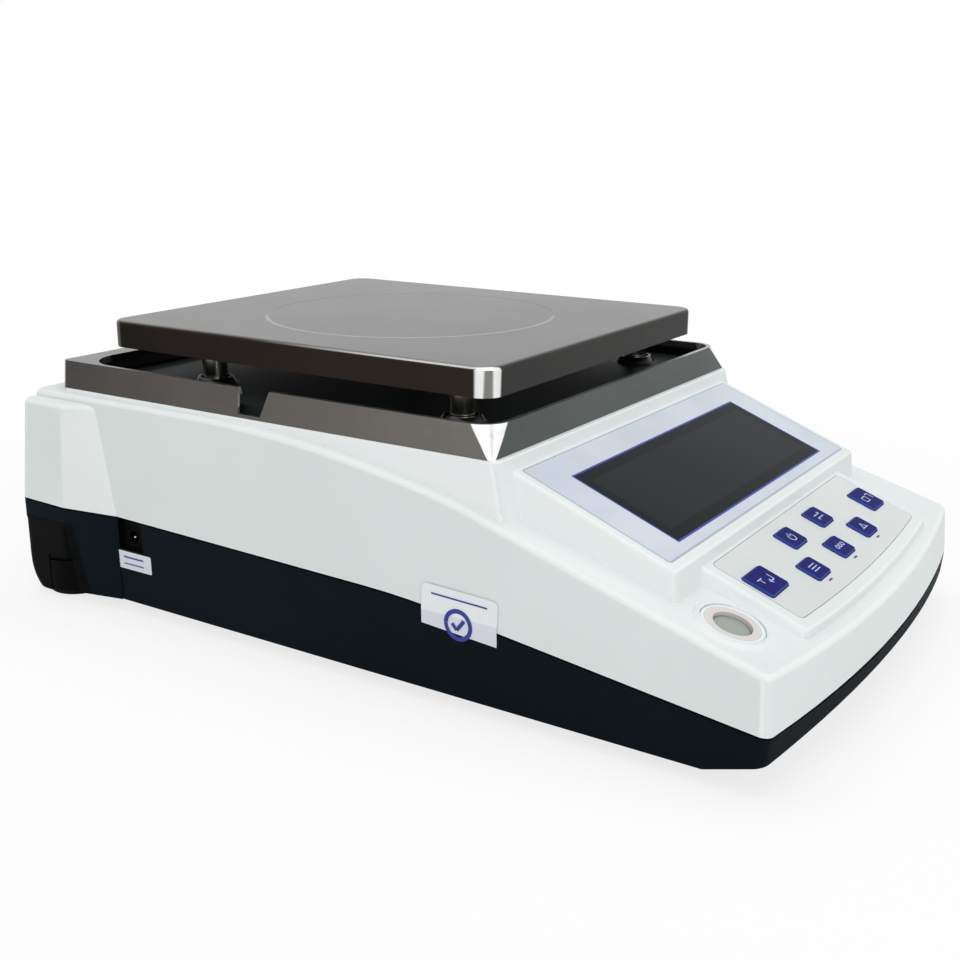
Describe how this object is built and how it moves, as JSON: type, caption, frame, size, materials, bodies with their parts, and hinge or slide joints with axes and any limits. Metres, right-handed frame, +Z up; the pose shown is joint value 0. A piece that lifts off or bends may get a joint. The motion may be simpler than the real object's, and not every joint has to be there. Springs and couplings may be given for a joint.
{
  "type": "laboratory scale",
  "caption": "Bench top laboratory scale with a rectangular metal weighing pan, sloping display, keypad, bubble level and levelling rear feet.",
  "frame": {"origin": "on the table plane, under the middle of the overall box", "axes": "+X to the user's right, +Y towards the rear, +Z up; the keypad faces -Y"},
  "size_m": [0.2314, 0.3596, 0.1239],
  "materials": {
    "housing_plastic": "fine matte texture",
    "base_plastic": "fine matte texture",
    "tray_steel": "satin",
    "floor_plastic": "satin",
    "pan_steel": "fine brushed",
    "post_steel": "turned and polished",
    "carrier_aluminium": "cast",
    "cell_aluminium": "milled",
    "screw_steel": "zinc plated",
    "bush_rubber": "matte",
    "foot_rubber": "matte",
    "knob_plastic": "satin black",
    "film": "satin printed film",
    "window_glass": "clear",
    "lcd": "dark grey",
    "circuit_board": "solder mask",
    "panel_plastic": "satin",
    "key_plastic": "satin navy",
    "dome_steel": "stamped",
    "level_plastic": "gloss",
    "level_glass": "clear with a bubble",
    "jack_plastic": "black"
  },
  "bodies": {
    "housing": {"upper_housing": "housing_plastic", "lower_base": "base_plastic", "tray_frame": "tray_steel", "tray_floor": "floor_plastic", "load_cell": "cell_aluminium", "cell_lower_spacer": "carrier_aluminium", "chassis_plate": "screw_steel", "overload_stop": "screw_steel", "cell_bolts": "screw_steel", "chassis_screws": "screw_steel", "housing_screws": "screw_steel", "main_board": "circuit_board", "board_screws": "screw_steel", "display_overlay": "film", "display_lens": "window_glass", "lcd_module": "lcd", "display_board": "circuit_board", "keypad_panel": "panel_plastic", "keypad_board": "circuit_board", "key_domes": "dome_steel", "level_holder": "level_plastic", "level_vial": "level_glass", "dc_jack": "jack_plastic", "front_foot_left": "foot_rubber", "front_foot_right": "foot_rubber"},
    "carrier": {"pan_carrier": "carrier_aluminium", "cell_upper_spacer": "carrier_aluminium", "carrier_bolts": "screw_steel", "post_bush_front_left": "bush_rubber", "post_bush_front_right": "bush_rubber", "post_bush_rear_left": "bush_rubber", "post_bush_rear_right": "bush_rubber"},
    "pan": {"weighing_pan": "pan_steel", "pan_post_front_left": "post_steel", "pan_post_front_right": "post_steel", "pan_post_rear_left": "post_steel", "pan_post_rear_right": "post_steel"},
    "tare_key": {"key_tare": "key_plastic"},
    "power_key": {"key_power": "key_plastic"},
    "mode_key": {"key_mode": "key_plastic"},
    "print_key": {"key_print": "key_plastic"},
    "set_key": {"key_set": "key_plastic"},
    "count_key": {"key_count": "key_plastic"},
    "unit_key": {"key_unit": "key_plastic"},
    "left_foot_pad": {"foot_pad_left": "foot_rubber"},
    "left_foot_knob": {"levelling_knob_left": "knob_plastic"},
    "right_foot_pad": {"foot_pad_right": "foot_rubber"},
    "right_foot_knob": {"levelling_knob_right": "knob_plastic"}
  },
  "joints": [
    {"name": "pan_load", "type": "slide", "parent": "housing", "child": "carrier", "axis": [0, 0, -1], "range_m": [0, 0.0006], "stiffness_N_per_m": 40000, "springref_m": -0.0003, "deforming": ["load_cell"]},
    {"name": "pan_lift", "type": "slide", "parent": "carrier", "child": "pan", "axis": [0, 0, 1], "range_m": [0, 0.06]},
    {"name": "tare_press", "type": "slide", "parent": "housing", "child": "tare_key", "axis": [0, 0.3552, -0.9348], "range_m": [0, 0.0006], "stiffness_N_per_m": 1500, "springref_m": -0.0002},
    {"name": "power_press", "type": "slide", "parent": "housing", "child": "power_key", "axis": [0, 0.3552, -0.9348], "range_m": [0, 0.0006], "stiffness_N_per_m": 1500, "springref_m": -0.0002},
    {"name": "mode_press", "type": "slide", "parent": "housing", "child": "mode_key", "axis": [0, 0.3552, -0.9348], "range_m": [0, 0.0006], "stiffness_N_per_m": 1500, "springref_m": -0.0002},
    {"name": "print_press", "type": "slide", "parent": "housing", "child": "print_key", "axis": [0, 0.3552, -0.9348], "range_m": [0, 0.0006], "stiffness_N_per_m": 1500, "springref_m": -0.0002},
    {"name": "set_press", "type": "slide", "parent": "housing", "child": "set_key", "axis": [0, 0.3552, -0.9348], "range_m": [0, 0.0006], "stiffness_N_per_m": 1500, "springref_m": -0.0002},
    {"name": "count_press", "type": "slide", "parent": "housing", "child": "count_key", "axis": [0, 0.3552, -0.9348], "range_m": [0, 0.0006], "stiffness_N_per_m": 1500, "springref_m": -0.0002},
    {"name": "unit_press", "type": "slide", "parent": "housing", "child": "unit_key", "axis": [0, 0.3552, -0.9348], "range_m": [0, 0.0006], "stiffness_N_per_m": 1500, "springref_m": -0.0002},
    {"name": "left_foot_height", "type": "slide", "parent": "housing", "child": "left_foot_pad", "axis": [0, 0, -1], "range_m": [-0.0006, 0.005]},
    {"name": "left_foot_turn", "type": "hinge", "parent": "left_foot_pad", "child": "left_foot_knob", "pos_m": [-0.0996, 0.1639, 0], "axis": [0, 0, -1], "range_deg": [-172, 1440]},
    {"name": "right_foot_height", "type": "slide", "parent": "housing", "child": "right_foot_pad", "axis": [0, 0, -1], "range_m": [-0.0006, 0.005]},
    {"name": "right_foot_turn", "type": "hinge", "parent": "right_foot_pad", "child": "right_foot_knob", "pos_m": [0.0996, 0.1639, 0], "axis": [0, 0, -1], "range_deg": [-172, 1440]}
  ],
  "couplings": [
    {"joint": "left_foot_height", "follows": "left_foot_turn", "m_per_rad": 0.00019894},
    {"joint": "right_foot_height", "follows": "right_foot_turn", "m_per_rad": 0.00019894}
  ]
}
